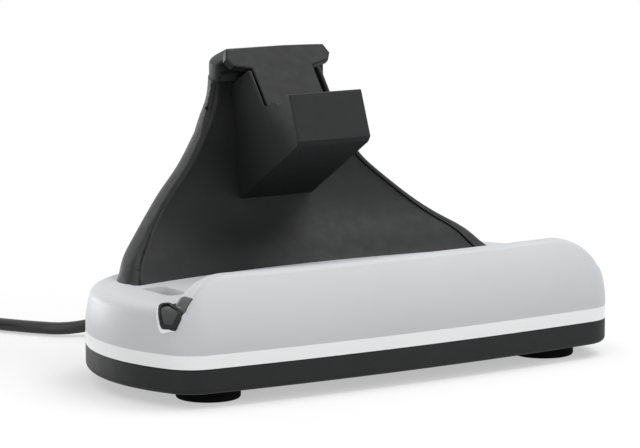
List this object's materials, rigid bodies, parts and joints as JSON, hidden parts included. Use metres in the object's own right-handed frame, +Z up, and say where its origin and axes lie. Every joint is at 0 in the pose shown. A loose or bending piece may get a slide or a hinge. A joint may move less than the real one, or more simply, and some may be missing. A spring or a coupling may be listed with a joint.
{
  "type": "handheld console charging stand",
  "caption": "Desktop charging stand with a weighted lipped base, a flared upright and a forward arm holding the charging plug, with a captive lead.",
  "frame": {"origin": "on the floor under the middle of the base", "axes": "+X to the right of someone facing the front, -Y towards the front, +Z up"},
  "size_m": [0.2646, 0.1887, 0.0952],
  "materials": {
    "shell_grey": "fine satin, light grey",
    "white_plastic": "smooth white",
    "black_plastic": "fine satin, near black",
    "foot_rubber": "matt black rubber",
    "smoke_plastic": "dark translucent",
    "clear_plastic": "clear moulded",
    "plated_steel": "nickel plated",
    "screw_steel": "zinc plated",
    "weight_steel": "rolled plate",
    "circuit_board": "solder resist",
    "chip_black": "moulded",
    "ferrite_grey": "ferrite",
    "capacitor_can": "drawn can",
    "cord_black": "smooth PVC",
    "tie_black": "woven hook and loop",
    "led_white": "moulded white"
  },
  "bodies": {
    "root": {"accent_band": "white_plastic", "base_tray": "black_plastic", "base_weight": "weight_steel", "board_screws": "screw_steel", "carrier_screws": "screw_steel", "case_screws": "screw_steel", "charge_controller": "chip_black", "connector_board": "circuit_board", "cord_coil": "cord_black", "cord_tie": "tie_black", "filter_capacitors": "capacitor_can", "foot_back_left": "foot_rubber", "foot_back_right": "foot_rubber", "foot_front_left": "foot_rubber", "foot_front_right": "foot_rubber", "head_plate": "black_plastic", "input_lead": "cord_black", "light_board": "circuit_board", "light_guide": "clear_plastic", "light_lead": "cord_black", "light_window": "smoke_plastic", "main_board": "circuit_board", "mast_screws": "screw_steel", "panel_screws": "screw_steel", "plug_carrier": "black_plastic", "plug_core": "chip_black", "plug_harness": "cord_black", "plug_shell": "plated_steel", "power_cord": "cord_black", "power_inductor": "ferrite_grey", "status_led": "led_white", "strain_relief": "cord_black", "top_shell": "shell_grey", "upright_front": "black_plastic", "upright_rear": "black_plastic", "usb_plug_body": "cord_black", "usb_plug_shell": "plated_steel", "usb_plug_tongue": "led_white", "weight_screws": "screw_steel"}
  },
  "joints": []
}
